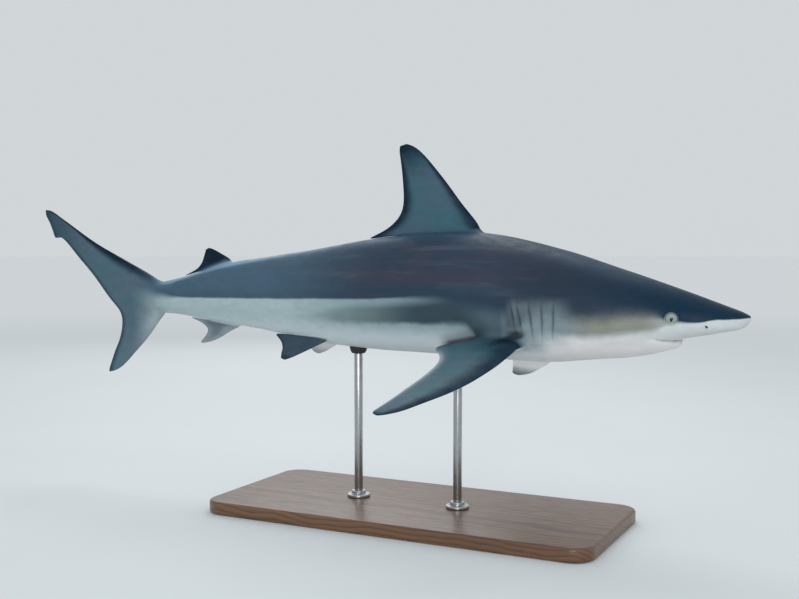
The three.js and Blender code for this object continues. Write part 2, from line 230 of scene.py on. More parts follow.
firstDorsal = {
    "kind": "firstDorsal", "row": 0, "base": (474, 636),
    # ribs from root to tip: each one's place on the leading edge and on the trailing edge
    "ribs": [
        (474, 135.5, 636, 129), (479, 144, 664, 127.4), (485, 153.5, 704, 122.8),
        (499, 170, 667, 140.2), (516, 190, 641, 162.5), (536, 216, 631, 188),
        (559, 244, 632, 225), (586, 274.3, 636, 262), (607, 292, 639.5, 284),
        (625, 299, 638.5, 295.5),
    ],
    "rootHalf": 9.5, "tipHalf": 1.2, "flare": 4.5, "rings": 25, "footing": 14,
}
smallFin = {"rootHalf": 5, "tipHalf": 0.9, "flare": 2.5, "rings": 14, "footing": 7.5}
secondDorsal = {
    "kind": "secondDorsal", "row": 0, "base": (1021, 1088),
    "ribs": [
        (1021, 76, 1088, 58.6), (1026, 81.5, 1106, 54.2), (1031, 84.5, 1140, 45.8),
        (1042, 90, 1111, 58.8), (1056, 96.6, 1097, 71.5), (1068, 101.8, 1090.5, 86),
        (1078, 104, 1085.5, 100.5),
    ],
    **smallFin,
}
analFin = {
    "kind": "anal", "row": body["rows"], "base": (1001, 1068),
    "ribs": [
        (1001, -54, 1068, -46.5), (1007, -57.5, 1091, -44.4), (1014, -60, 1126, -39.8),
        (1031, -68.3, 1099, -50), (1051, -79.8, 1082.5, -61.5), (1073, -88.5, 1085.5, -74.5),
        (1098, -93.4, 1100, -89.5),
    ],
    **smallFin,
}
pectoral = {
    "kind": "pectoral", "row": 27, "base": (362, 440),
    "ribs": [
        (0, 0, 80, 0), (4, 18, 98, 15), (9, 40, 142, 43),
        (16, 65, 125.5, 69), (24, 89, 120, 94), (44, 134, 127.5, 133),
        (68, 172, 142, 176), (95, 204, 152, 206), (121, 234, 162, 232),
        (143, 250, 167, 246), (157, 256, 166, 253),
    ],
    "origin": (362, 86, -54), "insertion": (437, 88, -49), "tip": (523, 321, -155),
    "leftDroop": 8, "droopFrom": 90,
    "rootHalf": 10.5, "tipHalf": 1.1, "flare": 4, "rings": 34, "footing": 15,
}
pelvic = {
    "kind": "pelvic", "row": 34, "base": (770, 846),
    "ribs": [
        (0, 0, 76, -2), (6, 6, 98, -2), (12, 11, 131, -1.5),
        (28, 22.5, 111, 13), (47, 36.3, 98.5, 29), (65, 48.8, 94.5, 43.5),
        (80, 56, 90, 53.5),
    ],
    "origin": (770, 38, -68), "insertion": (845, 30.5, -66.5), "tip": (859, 65, -109),
    "rootHalf": 5.5, "tipHalf": 0.9, "flare": 3, "rings": 14, "footing": 8,
}


# Rows run along the body at even angles, but spread to make room for the foot of each fin.
def rowAngles(s):
    rows = body["rows"]
    back, belly, half, *_ = sectionAt(s)
    steps = [pi / rows, pi / rows]  # the first row's angle from the back and from the belly
    for fin in (firstDorsal, secondDorsal, analFin):
        start, end = fin["base"]
        reach = (end - start) * 0.35
        near = window(s, start - reach, start, end, end + reach)
        foot = fin["footing"] * mix(1, 0.5, fade(start, end, s))
        low = fin["row"] > 0
        steps[low] = mix(steps[low], asin(clamp(foot / half, 0, 0.6)), near)
    pinned = [0, 1, rows / 2, rows - 1, rows]
    angles = np.interp(np.arange(rows + 1), pinned, [0, steps[0], pi / 2, pi - steps[1], pi])
    for fin in (pectoral, pelvic):
        start, end = fin["base"]
        near = window(s, start - 50, start, end, end + 50)
        if near <= 0:
            continue
        share = clamp((s - start) / (end - start))
        root = Vector(fin["origin"]).lerp(Vector(fin["insertion"]), share)
        centre = angleAtHeight(mix(start, end, share), root.z)
        row = fin["row"]
        foot = fin["footing"] * mix(1.0, 0.55, share) / hypot(half, (back - belly) / 2) * 1.3
        low, high = row - 8, min(row + 8, rows - 2)
        pinned = [low, row - 1, row, row + 1, high]
        shift = [
            0, centre - foot - angles[row - 1], centre - angles[row],
            centre + foot - angles[row + 1], 0,
        ]
        angles = angles + near * np.interp(np.arange(rows + 1), pinned, shift)
    return angles


tailFin = {
    "rings": 34,
    "dorsalMargin": [
        (1196, 32), (1212, 35.5), (1233, 47.5), (1313, 83.5), (1383, 116), (1467, 164.5), (1505, 186),
        (1524, 189),
    ],
    "rearMargin": [
        (1524, 189), (1524.5, 177), (1511.5, 155.5), (1503, 136.5), (1498.3, 125.3), (1495, 123.6),
        (1488, 126), (1476, 127), (1468, 120), (1436, 88), (1386.5, 42), (1345, -4), (1328, -19.5),
        (1313, -35.5), (1308.6, -51), (1311.5, -77), (1319.3, -99.3), (1330, -119), (1340.5, -144),
        (1348, -162), (1347.5, -170),
    ],
    "lowerMargin": [
        (1196, -33), (1207, -47.5), (1224.5, -70), (1241.5, -90), (1276, -124), (1293.5, -141),
        (1311, -155.7), (1328.5, -165), (1347.5, -170),
    ],
    "stalkHalf": 24, "ridgeHalf": 6.5,
    # which share of the rear margin each stretch of rows takes
    "rowShares": ([0, 8, 14, 23, 31, 40], [0, 0.125, 0.19, 0.6, 0.82, 1]),
}
dorsalMargin = evenCurve(tailFin["dorsalMargin"])
rearMargin = evenCurve(tailFin["rearMargin"])
lowerMargin = evenCurve(tailFin["lowerMargin"])


def tailPoint(along, row):
    rows = body["rows"]
    rootShare = (1 - cos(pi * row / rows)) / 2
    rearShare = float(np.interp(row, *tailFin["rowShares"]))
    down = mix(rootShare, rearShare, fade(0, 1, along))
    top, bottom = dorsalMargin(along), lowerMargin(along)
    corners = [dorsalMargin(0), dorsalMargin(1), lowerMargin(0), lowerMargin(1)]
    root = mix(corners[0], corners[2], down)
    # the notch shows at the margin only and fades out inside the fin
    rear = rearMargin(down)
    if down < 0.2:
        straight = mix(corners[1], rearMargin(0.2), down / 0.2)
        rear = mix(straight, rear, along**3)
    point = (1 - down) * top + down * bottom + (1 - along) * root + along * rear
    point = point - (1 - along) * ((1 - down) * corners[0] + down * corners[2])
    point = point - along * ((1 - down) * corners[1] + down * corners[3])
    roundness = 2 * sqrt(max(down * (1 - down), 0))
    stalk = (tailFin["stalkHalf"] - tailFin["ridgeHalf"]) * (1 - along) ** 2.2
    ridge = tailFin["ridgeHalf"] * sqrt(1 - along) * mix(1, 1.3 - 0.6 * down, along)
    edge = 0.0 if row in (0, rows) or along >= 1 else 0.5
    return point[0], edge + roundness * (stalk + ridge), point[1], down


def addObject(name, data):
    thing = bpy.data.objects.new(name, data)
    bpy.context.scene.collection.objects.link(thing)
    return thing


# Extrudes a patch of faces, which goes, and gives the faces of the new one.
def extrudePatch(bm, faces):
    grown = bmesh.ops.extrude_face_region(bm, geom=faces)["geom"]
    bmesh.ops.delete(bm, geom=[face for face in faces if face.is_valid], context="FACES_ONLY")
    return [item for item in grown if isinstance(item, bmesh.types.BMFace)]


# Gives a finished mesh its object and its body, and hides the nodes it stands for.
# Flesh is smooth all over, and made things have sharp edges.
def finishPiece(bm, name, slotName, *nodes):
    bmesh.ops.recalc_face_normals(bm, faces=bm.faces[:])
    for face in bm.faces:
        face.smooth = True
    mesh = bpy.data.meshes.new(name)
    bm.to_mesh(mesh)
    bm.free()
    if slotName.startswith("stand_"):
        mesh.set_sharp_from_angle(angle=radians(32))
    piece = addObject(name, mesh)
    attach(piece, "root")
    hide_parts(*nodes)
    return piece


# How thick a fin is along its section, from leading edge to trailing edge.
def foil(share):
    x = clamp(share)
    return 10 * (0.2969 * sqrt(x) - 0.126 * x - 0.3516 * x**2 + 0.2843 * x**3 - 0.1036 * x**4)


# How dark and how pale a fin is at a place on it: out runs from root to tip, across from the
# leading edge to the trailing edge, and upper is 1 on the upper side and -1 below.
def finMarks(kind, out, across, upper):
    lead = 1 - fade(0.02, 0.15, across)
    trail = fade(0.8, 0.96, across)
    if kind == "firstDorsal":
        shade = max(lead, 0.95 * fade(0.72, 0.95, across), fade(0.62, 0.93, out))
        return max(shade, 0.35 * (1 - fade(0, 0.25, out))), 0
    if kind == "secondDorsal":
        return max(fade(0.1, 0.4, out), 0.8 * lead, 0.8 * trail), 0
    if kind == "anal":
        shade = 0.35 * window(across, 0.1, 0.35, 0.5, 0.9) * (1 - fade(0.5, 1, out))
        return shade + 0.25 * trail, 0.22 - 0.22 * shade
    if kind == "pectoral":
        tip = fade(0.86, 1.0, out)
        if upper < -0.3:
            dusk = fade(0.62, 0.88, out)
            return 0.55 * dusk + 0.08 * lead, 1 - 0.75 * dusk
        # painted shade at the fin's root, most at its leading part
        root = 1 - fade(0.05, 0.34, out)
        front = 1 - fade(0.06, 0.45, across)
        # painted shadow along the inner margin next to the body
        innerShadow = fade(0.8, 0.96, across) * (1 - fade(0.15, 0.24, out))
        root *= 1 - 0.8 * fade(0.25, 0.6, across)
        shade = max(0.85 * front, 0.75 * tip, root, 0.9 * innerShadow)
        # painted highlight: a pale rim along the trailing edge
        rimHighlight = fade(0.93, 0.99, across) * fade(0.22, 0.3, out)
        return shade, (0.05 * fade(0.1, 0.7, out) + 0.06 * trail + 0.25 * rimHighlight) * (1 - tip)
    if kind == "pelvic":
        if upper < -0.3:
            return 0.2 * fade(0.6, 0.95, out), 0.9 - 0.4 * fade(0.6, 0.95, out)
        return max(0.55, 0.85 * fade(0.55, 0.95, out), 0.8 * trail), 0.03
    # the tail fin: out runs back along it and across from its upper to its lower margin
    reach = mix(1.0, 0.12, fade(0.25, 0.85, out))
    top = 1 - fade(0.03 * reach, 0.24 * reach, across)
    low = fade(0.66, 1.0, across)
    rear = fade(0.9, 1.0, out)
    shade = max(top * fade(0.0, 0.1, out), 0.6 * rear)
    return shade, (0.02 + 0.03 * low) * (1 - rear)


# Pushes the lower jaw down, cuts the line of the mouth and lifts the gill flaps. The second value is
# painted shade: how dark the point is painted for lying deep in a crease.
def bodyDetail(s, angle, y, h):
    point = Vector((s, y, h))
    crease = 0
    if 60 < s < 330 and angle > 1.7:
        line = mouthLine(y)
        behind = s - line
        jawShare = clamp((s - mouth["front"]) / mouth["reach"], 0.005, 1)
        halfJaw = mouth["halfWidth"] * sqrt(1 - (1 - jawShare) ** 2)
        across = clamp(y / max(halfJaw, 1))
        corner = 1 - fade(0.84, 0.995, y / mouth["halfWidth"])
        if behind > 0.4:
            rise = 1 - 0.3 * exp(-behind / 5)
            fall = 1 - fade(140, 300, s)
            lip = mouth["lipShare"] * (1 - fade(132, 175, s))
            point.z -= mouth["chinDepth"] * rise * fall * (lip + (1 - lip) * (1 - across**2))
        if abs(behind) < 9 and y < mouth["halfWidth"] * 0.995:
            # painted shade along the mouth's line
            crease = 0.65 * exp(-((behind / 1.2) ** 2)) * corner**1.6
            point.z += mouth["groove"] * exp(-((behind / 0.8) ** 2)) * corner
            point.z -= 1.1 * exp(-(((behind + 3.2) / 2.4) ** 2)) * corner
    if angle < 0.9:  # a low swelling at the foot of the second dorsal fin
        point.z += 3.2 * window(s, 940, 1012, 1030, 1075) * exp(-((angle / 0.45) ** 2))
    if 345 < s < 450 and y > 40:  # painted shade in the fold over the pectoral's base and at its shoulder
        near = ((s - 405) / 42) ** 2 + ((h + 50) / 11) ** 2
        shoulderShade = ((s - 372) / 19) ** 2 + ((h + 48) / 17) ** 2
        shoulderShade = min(0.95, 1.3 * exp(-shoulderShade)) * fade(-68, -54, h)
        crease = max(0.6 * exp(-near), shoulderShade)
    if 290 < s < 400:
        for top, low, lowH in gills["slits"]:
            down = (gills["top"] - h) / (gills["top"] - lowH)
            if not 0 < down < 1:
                continue
            bow = gills["bow"] * sin(pi * down)
            x = s - (mix(top, low, clamp((gills["top"] - h) / gills["tall"])) - bow)
            reach = sin(pi * down) ** 0.55
            flap = gills["flapRise"] * exp(-(((x + 2.2) / 5.5) ** 2))
            cut = gills["cut"] * exp(-(((x - 0.9) / 1.6) ** 2))
            point.y += reach * (flap * (1 if x < 0 else 0) - cut)
            # painted shade inside each gill slit
            depth = 0.75 - 0.35 * down
            crease = max(crease, depth * reach * exp(-(((x - 0.8) / 1.9) ** 2)))
    return point, crease


def setLayers(bm, vert, **values):
    for name, value in values.items():
        vert[bm.verts.layers.float[name]] = value


def skinGrid():
    bm = bmesh.new()
    stations = bodyStations()
    rows, tailRings = body["rows"], tailFin["rings"]
    total = len(stations) + tailRings
    bmesh.ops.create_grid(bm, x_segments=total - 1, y_segments=rows, size=0.5)
    for name in ("chord", "side", "fin", "across", "dark", "pale", "crease"):
        bm.verts.layers.float.new(name)
    bm.faces.layers.int.new("tag")
    angles = [rowAngles(s) for s in stations]
    byPlace = {}
    for vert in bm.verts:
        ring = round((vert.co.x + 0.5) * (total - 1))
        row = round((vert.co.y + 0.5) * rows)
        byPlace[ring, row] = vert
        if ring < len(stations):
            angle = angles[ring][row]
            s = ringAt(stations[ring], angle)
            y, h = sectionPoint(s, angle)
            point, crease = bodyDetail(s, angle, y, h)
            setLayers(bm, vert, crease=crease)
            vert.co = place(*point)
            if row in (0, rows):
                vert.co.y = 0
        else:
            along = 1 - (1 - (ring - len(stations) + 1) / tailRings) ** 1.35
            *point, down = tailPoint(along, row)
            vert.co = place(*point)
            dark, pale = finMarks("tail", along, down, 0)
            onFin = fade(-0.05, 0.7, along + 0.2 * (0.4 - down))
            setLayers(bm, vert, fin=onFin, across=down, dark=dark, pale=pale)
    return bm, stations, byPlace


def ringOf(stations, s):
    return min(range(len(stations)), key=lambda i: abs(stations[i] - s))


# Marks the faces that a fin grows from and writes each corner's place on the fin's root: the
# side is 1 above and -1 below a paired fin, and 1 beside a fin on the mid-plane.
def markFoot(bm, stations, byPlace, fin):
    tag = bm.faces.layers.int["tag"]
    chord, side = bm.verts.layers.float["chord"], bm.verts.layers.float["side"]
    first, last = (ringOf(stations, end) for end in fin["base"])
    foot = set()
    for row in range(max(fin["row"] - 1, 0), min(fin["row"] + 1, body["rows"]) + 1):
        for ring in range(first, last + 1):
            vert = byPlace[ring, row]
            vert[chord] = (stations[ring] - stations[first]) / (stations[last] - stations[first])
            vert[side] = fin["row"] - row if "origin" in fin else abs(fin["row"] - row)
            foot.add(vert)
    for vert in foot:
        for face in vert.link_faces:
            if all(v in foot for v in face.verts):
                face[tag] = fin["base"][0]


# Extrudes a fin off its foot, one ring at a time, and shapes each ring to the fin's rib there.
def growFin(bm, fin, toSpace):
    tag = bm.faces.layers.int["tag"]
    floats = bm.verts.layers.float
    region = [face for face in bm.faces if face[tag] == fin["base"][0]]
    last = len(fin["ribs"]) - 1
    ribAt = curveThrough(range(last + 1), fin["ribs"])
    for ring in range(1, fin["rings"] + 1):
        share = ring / fin["rings"]
        knot = 0.55 + (last - 0.55) * share**0.92
        region = extrudePatch(bm, region)
        span = knot / last
        rib = ribAt(knot)
        for vert in {v for face in region for v in face.verts}:
            across, side = vert[floats["chord"]], vert[floats["side"]]
            across = mix(0.012, 0.99, across) if abs(side) > 0.5 else mix(-0.012, 1.012, across)
            flat = mix(rib[:2], rib[2:], across)
            half = fin["tipHalf"] + (fin["rootHalf"] - fin["tipHalf"]) * (1 - span) ** 1.3
            half += fin["flare"] * exp(-knot / 0.7)
            vert.co = toSpace(flat[0], flat[1], side * (0.45 + half * foil(across)))
            dark, pale = finMarks(fin["kind"], span, across, side)
            setLayers(bm, vert, fin=fade(-0.3, 0.9, knot), across=across, dark=dark, pale=pale)
            # the painted crease shade fades out over the first rings of the fin
            vert[floats["crease"]] *= 0.75


# Turns a place in a paired fin's own plane into a place in the frame.
def pairedSpace(fin):
    origin = Vector(fin["origin"])
    chord = (Vector(fin["insertion"]) - origin).normalized()
    normal = chord.cross(Vector(fin["tip"]) - origin).normalized()
    outward = normal.cross(chord)

    def toSpace(along, away, half):
        return place(*(origin + chord * along + outward * away + normal * half))

    return toSpace


eyeForm = {
    "s": 118, "h": eyeHeight, "turn": 0.26, "across": 13, "deep": 8, "proud": 2.7,
    "rings": (103, 133), "cells": 7, "opening": (10.2, 9.7), "tilt": 0.0,
    "lid": 3.4,  # how far the lower lid is drawn up over the eyeball
    # rings from the cheek inwards: size against the opening, height above the cheek, shadow
    # and how much of the lower lid's rise the ring takes
    "steps": [
        (1.5, -0.3, 0, 0), (1.34, -0.3, 0.05, 0), (1.22, 1.0, 0, 0.1), (1.1, 1.6, 0, 0.5),
        (1.02, 1.4, 0.3, 1), (0.97, 0.3, 0.9, 1), (0.97, -1.3, 1, 0.6), (1.15, -3.6, 1, 0),
        (1.3, -6, 1, 0), (0.8, -13, 1, 0),
    ],
}

nostril = {
    "s": 65, "h": -19.5, "turn": 0.5, "rings": (59, 71.5), "cells": 2, "opening": (4.4, 1.9),
    "tilt": 0.9, "lid": 0,
    "steps": [
        (1.7, 0, 0, 0), (1.3, 0.8, 0, 0), (0.95, 0.5, 0.2, 0), (0.85, -1, 0.5, 0), (1, -3, 0.8, 0),
        (0.6, -6, 1, 0),
    ],
}


# Where a hollow sits on the cheek, and which way is along, up and out there.
def cheekFrame(form):
    y, _ = sectionPoint(form["s"], angleAtHeight(form["s"], form["h"]))
    turn, tilt = form["turn"], form["tilt"]
    centre = place(form["s"], y, form["h"])
    back = Vector((-cos(turn), sin(turn), 0))
    outward = Vector((sin(turn), cos(turn), 0))
    up = Vector((0, 0, 1))
    if form is nostril:
        outward = (outward - up * 0.45).normalized()
        up = outward.cross(back).normalized()
        up = up if up.z > 0 else -up
    along = back * cos(tilt) + up * sin(tilt)
    over = up * cos(tilt) - back * sin(tilt)
    return centre, along, over, outward


# Opens a hollow in the cheek: a patch of the grid is rounded and stepped inwards.
def openHollow(bm, stations, byPlace, form):
    centre, along, over, outward = cheekFrame(form)
    crease = bm.verts.layers.float["crease"]
    first, last = ringOf(stations, form["rings"][0]), ringOf(stations, form["rings"][1])
    cells = form["cells"]
    middle = (first + last) // 2

    def offCentre(row):
        return abs((byPlace[middle, row].co.z + byPlace[middle, row + cells].co.z) / 2 - centre.z)

    low = min(range(8, body["rows"] - cells - 4), key=offCentre)
    spots = {}  # each vertex's share of the way out and its turn about the middle
    for ring in range(first, last + 1):
        for row in range(low, low + cells + 1):
            u = 2 * (ring - first) / (last - first) - 1
            v = 2 * (row - low) / cells - 1
            vert = byPlace[ring, row]
            offset = vert.co - centre
            turn = atan2(offset.dot(over), offset.dot(along))
            spots[vert] = max(abs(u), abs(v)), turn
    region = list({f for v in spots for f in v.link_faces if all(c in spots for c in f.verts)})
    wide, high = form["opening"]
    for step, (size, lift, shadow, rise) in enumerate(form["steps"]):
        if step:
            before = {tuple(v.co): spot for v, spot in spots.items()}
            region = extrudePatch(bm, region)
            spots = {v: before[tuple(v.co)] for f in region for v in f.verts}
        for vert, (share, turn) in spots.items():
            reach = share * size * mm
            flat = along * (cos(turn) * wide) + over * (sin(turn) * high)
            drawn = form["lid"] * rise * max(0, -sin(turn)) ** 1.3
            lifted = lift + drawn * 0.4
            vert.co = centre + flat * reach + over * (drawn * mm) + outward * (lifted * mm)
            # each ring's painted shadow, darker deeper in the hollow
            vert[crease] = max(vert[crease], shadow)


def buildSkin():
    bm, stations, byPlace = skinGrid()
    for fin in (pectoral, pelvic, firstDorsal, secondDorsal, analFin):
        markFoot(bm, stations, byPlace, fin)
    for form in (eyeForm, nostril):
        openHollow(bm, stations, byPlace, form)
    for fin in (pectoral, pelvic):
        growFin(bm, fin, pairedSpace(fin))
    everything = bm.verts[:] + bm.edges[:] + bm.faces[:]
    bmesh.ops.mirror(bm, geom=everything, axis="Y", merge_dist=1e-6)
    bmesh.ops.remove_doubles(bm, verts=bm.verts[:], dist=1e-6)
    side = bm.verts.layers.float["side"]
    droopFrom, droopTo = pectoral["droopFrom"], pectoral["tip"][1]
    for vert in bm.verts:
        if vert.co.y < -1e-7:
            vert[side] = -vert[side]
        share = clamp((vert.co.y / mm - droopFrom) / (droopTo - droopFrom))
        vert.co.z -= pectoral["leftDroop"] * share**1.5 * mm
    for fin in (firstDorsal, secondDorsal, analFin):
        growFin(bm, fin, lambda s, h, half: place(s, half, h))
    tip = [v for v in bm.verts if v.is_boundary and v.co.x > snoutX - 5 * mm]
    bmesh.ops.pointmerge(bm, verts=tip, merge_co=place(snoutTip - 0.3, 0, -5.8))
    loose = [v for v in bm.verts if not v.link_faces]
    bmesh.ops.delete(bm, geom=loose, context="VERTS")
    openEdges = [e for e in bm.edges if len(e.link_faces) != 2]
    print("skin cage", len(bm.verts), "verts", len(bm.faces), "faces", len(openEdges), "open edges")
    fleshNodes = [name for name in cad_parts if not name.startswith(("stand_", "eye_"))]
    skin = finishPiece(bm, "shark_skin", "skin", *fleshNodes)
    smooth = skin.modifiers.new("smooth", "SUBSURF")
    smooth.levels = 1
    smooth.render_levels = 1
    return skin


skin = buildSkin()

eyeball = {
    "pupil": (2.3, 4.3),  # half width and half height
    "pupilTilt": 0.22,
    "iris": (112, 129, 127), "irisPale": (164, 177, 174), "irisInner": (150, 150, 120),
    "irisRim": (62, 74, 80), "pupilTone": (8, 11, 13),
}


def buildEye(side):
    centre, along, over, outward = cheekFrame(eyeForm)
    sink = (eyeForm["deep"] - eyeForm["proud"]) * mm
    bm = bmesh.new()
    bmesh.ops.create_uvsphere(bm, u_segments=48, v_segments=32, radius=1)
    acrossLayer = bm.verts.layers.float.new("irisAcross")
    upLayer = bm.verts.layers.float.new("irisUp")
    tilt = eyeball["pupilTilt"]
    for vert in bm.verts:
        x, y, z = vert.co * eyeForm["across"]
        vert[acrossLayer] = x * cos(tilt) + y * sin(tilt)
        vert[upLayer] = y * cos(tilt) - x * sin(tilt)
        depth = z / eyeForm["across"] * eyeForm["deep"]
        vert.co = centre + (along * x + over * y) * mm + outward * (depth * mm - sink)
        if side == "right":
            vert.co.y = -vert.co.y
    return finishPiece(bm, f"eyeball_{side}", "eye", f"eye_{side}")


eyes = [buildEye("left"), buildEye("right")]
print("shape of skin and eyes done")

stand = {
    "board": {"corner": 40, "round": 5, "roundSteps": 5, "cornerSteps": 16},
    "rod": {"sides": 64, "edge": 0.8},
    "collar": {
        "sides": 64, "bore": 8.3, "foot": 22, "neck": 13.5, "footHeight": 5.5, "fillet": 1.5,
        "round": 1.2,
    },
    "screw": {"radius": 2.6, "length": 2.4, "socket": 1.4, "height": 8.6, "turn": -1.15},
    "cup": {
        "sides": 48, "foot": 13, "lip": 17, "height": 12, "bulge": 0.05, "round": 1.5, "gap": 0.3,
        "dishRings": 5, "dishStep": 2.6,
    },
}


def undersideAt(s, y):
    _, belly, half, middle, _, lower = sectionAt(s)
    share = clamp(abs(y) / half)
    return middle - (middle - belly) * (1 - share**lower) ** (1 / lower)


def bevelEdges(bm, edges, offset, segments):
    bmesh.ops.bevel(
        bm, geom=edges, offset=offset, offset_type="OFFSET", affect="EDGES", segments=segments,
        profile=0.5, material=-1,
    )


# A board with rounded corners and a rounded-over rim.
def buildBoard():
    form = stand["board"]
    low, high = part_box("stand_base")
    bm = bmesh.new()
    bmesh.ops.create_cube(bm, size=1)
    size, middle = high - low, (low + high) / 2
    bmesh.ops.scale(bm, verts=bm.verts[:], vec=size)
    bmesh.ops.translate(bm, verts=bm.verts[:], vec=middle)
    upright = [e for e in bm.edges if abs(e.verts[0].co.z - e.verts[1].co.z) > 5 * mm]
    bevelEdges(bm, upright, form["corner"] * mm, form["cornerSteps"])
    level = [f for f in bm.faces if abs(f.normal.z) > 0.9]
    rims = {e for f in level for e in f.edges}
    bevelEdges(bm, list(rims), form["round"] * mm, form["roundSteps"])
    return finishPiece(bm, "display_board", "stand_wood", "stand_base")


def buildRod(name):
    form = stand["rod"]
    low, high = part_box(f"stand_rod_{name}")
    bm = bmesh.new()
    radius = (high.y - low.y) / 2
    bmesh.ops.create_cone(
        bm, cap_ends=True, segments=form["sides"], radius1=radius, radius2=radius, depth=high.z - low.z,
    )
    bmesh.ops.translate(bm, verts=bm.verts[:], vec=(low + high) / 2)
    rims = [e for e in bm.edges if abs(e.verts[0].co.z - e.verts[1].co.z) < 1e-6]
    bevelEdges(bm, rims, form["edge"] * mm, 2)
    return finishPiece(bm, f"rod_{name}", "stand_steel", f"stand_rod_{name}")


# A turned flange: its profile is spun round the rod, then a socket screw is set in the neck.
def buildCollar(name):
    form, screw = stand["collar"], stand["screw"]
    low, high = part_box(f"stand_collar_{name}")
    middle = (low + high) / 2
    top = (high.z - low.z) / mm
    profile = [
        (form["bore"], 0), (form["foot"], 0), (form["foot"], form["footHeight"]),
        (form["neck"] + form["fillet"], form["footHeight"]),
        (form["neck"], form["footHeight"] + form["fillet"]),
        (form["neck"], top), (form["bore"], top),
    ]
    bm = bmesh.new()
    points = [bm.verts.new((r * mm, 0, z * mm)) for r, z in profile]
    ring = [bm.edges.new((a, b)) for a, b in zip(points, points[1:] + points[:1])]
    bmesh.ops.spin(
        bm, geom=points + ring, cent=(0, 0, 0), axis=(0, 0, 1), angle=2 * pi,
        steps=form["sides"], use_merge=True,
    )
    bmesh.ops.remove_doubles(bm, verts=bm.verts[:], dist=1e-6)
    bmesh.ops.recalc_face_normals(bm, faces=bm.faces[:])
    corners = []
    for edge in bm.edges:
        a, b = (vert.co for vert in edge.verts)
        outer = a.xy.length > (form["bore"] + 1) * mm
        aroundAxis = abs(a.z - b.z) < 1e-6 and abs(a.xy.length - b.xy.length) < 1e-6
        if outer and aroundAxis and edge.calc_face_angle(0) > 1.2:
            corners.append(edge)
    bevelEdges(bm, corners, form["round"] * mm, 3)
    head = bmesh.ops.create_cone(
        bm, cap_ends=True, segments=24, radius1=screw["radius"] * mm, radius2=screw["radius"] * mm,
        depth=screw["length"] * mm,
    )["verts"]
    outside = [f for f in {f for v in head for f in v.link_faces} if f.normal.z > 0.9]
    hole = bmesh.ops.inset_region(bm, faces=outside, thickness=(screw["radius"] - screw["socket"]) * mm)
    sunk = bmesh.ops.extrude_face_region(bm, geom=outside)["geom"]
    bmesh.ops.delete(bm, geom=outside, context="FACES_ONLY")
    floorVerts = [v for v in sunk if isinstance(v, bmesh.types.BMVert)]
    bmesh.ops.translate(bm, verts=floorVerts, vec=(0, 0, -screw["socket"] * mm))
    head = list(set(head) | set(floorVerts) | {v for f in hole["faces"] for v in f.verts})
    facing = Vector((cos(screw["turn"]), sin(screw["turn"]), 0))
    turned = facing.to_track_quat("Z", "Y").to_matrix()
    bmesh.ops.rotate(bm, verts=head, cent=(0, 0, 0), matrix=turned)
    seat = facing * (form["neck"] * mm) + Vector((0, 0, screw["height"] * mm))
    bmesh.ops.translate(bm, verts=head, vec=seat)
    bmesh.ops.translate(bm, verts=bm.verts[:], vec=(middle.x, middle.y, low.z))
    return finishPiece(bm, f"collar_{name}", "stand_steel", f"stand_collar_{name}")


# A rubber cup whose dished top takes the curve of the belly that rests in it.
def buildCup(name):
    form = stand["cup"]
    low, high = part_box(f"stand_cup_{name}")
    bm = bmesh.new()
    bmesh.ops.create_circle(bm, cap_ends=True, segments=form["sides"], radius=form["foot"] * mm)
    floorFace = list(bm.faces)
    grown = bmesh.ops.extrude_face_region(bm, geom=floorFace)["geom"]
    top = [f for f in grown if isinstance(f, bmesh.types.BMFace)]
    for vert in {v for f in top for v in f.verts}:
        vert.co.xy *= form["lip"] / form["foot"]
        vert.co.z = form["height"] * mm
    walls = [e for e in bm.edges if e.is_manifold and abs(e.verts[0].co.z - e.verts[1].co.z) > 5 * mm]
    bmesh.ops.subdivide_edges(bm, edges=walls, cuts=3, use_grid_fill=True)
    for _ in range(form["dishRings"]):
        bmesh.ops.inset_region(bm, faces=top, thickness=form["dishStep"] * mm)
    centre = Vector(((low.x + high.x) / 2, 0, low.z))
    for vert in bm.verts:
        share = clamp(vert.co.z / (form["height"] * mm))
        vert.co.xy *= 1 + form["bulge"] * sin(pi * share)
        at = vert.co + centre
        behind = (snoutX - at.x) / mm
        underside = place(behind, 0, undersideAt(behind, at.y / mm) - form["gap"]).z
        vert.co = Vector((at.x, at.y, mix(low.z, underside, share)))
    foot = [e for e in bm.edges if e.verts[0].co.z < low.z + 1e-6 and e.verts[1].co.z < low.z + 1e-6]
    bevelEdges(bm, foot, form["round"] * mm, 3)
    return finishPiece(bm, f"cup_{name}", "stand_pad", f"stand_cup_{name}")


board = buildBoard()
steelPieces = [build(name) for build in (buildRod, buildCollar) for name in ("front", "rear")]
cups = [buildCup(name) for name in ("front", "rear")]
print("stand done")


# What a node puts out. Materials add, subtract and multiply such fields as they would numbers.
class Field:
    def __init__(self, tree, socket):
        self.tree = tree
        self.socket = socket

    def __add__(self, other):
        return calc("ADD", self, other)

    def __sub__(self, other):
        return calc("SUBTRACT", self, other)

    def __rsub__(self, other):
        return calc("SUBTRACT", other, self)

    def __mul__(self, other):
        return calc("MULTIPLY", self, other)

    def __truediv__(self, other):
        return calc("DIVIDE", self, other)

    def __rtruediv__(self, other):
        return calc("DIVIDE", other, self)

    def __pow__(self, other):
        return calc("POWER", self, other)


def newNode(tree, kind, inputs=None, **settings):
    node = tree.nodes.new(kind)
    for name, value in settings.items():
        setattr(node, name, value)
    for name, value in (inputs or {}).items():
        if isinstance(value, Field):
            tree.links.new(value.socket, node.inputs[name])
        else:
            node.inputs[name].default_value = value
    return node


def addNode(tree, kind, inputs=None, output=0, **settings):
    return Field(tree, newNode(tree, kind, inputs, **settings).outputs[output])


def calc(operation, *values):
    tree = next(value.tree for value in values if isinstance(value, Field))
    return addNode(tree, "ShaderNodeMath", dict(enumerate(values)), operation=operation)


def larger(a, b):
    return calc("MAXIMUM", a, b)


def distance(a, b):
    return calc("SQRT", a**2 + b**2)


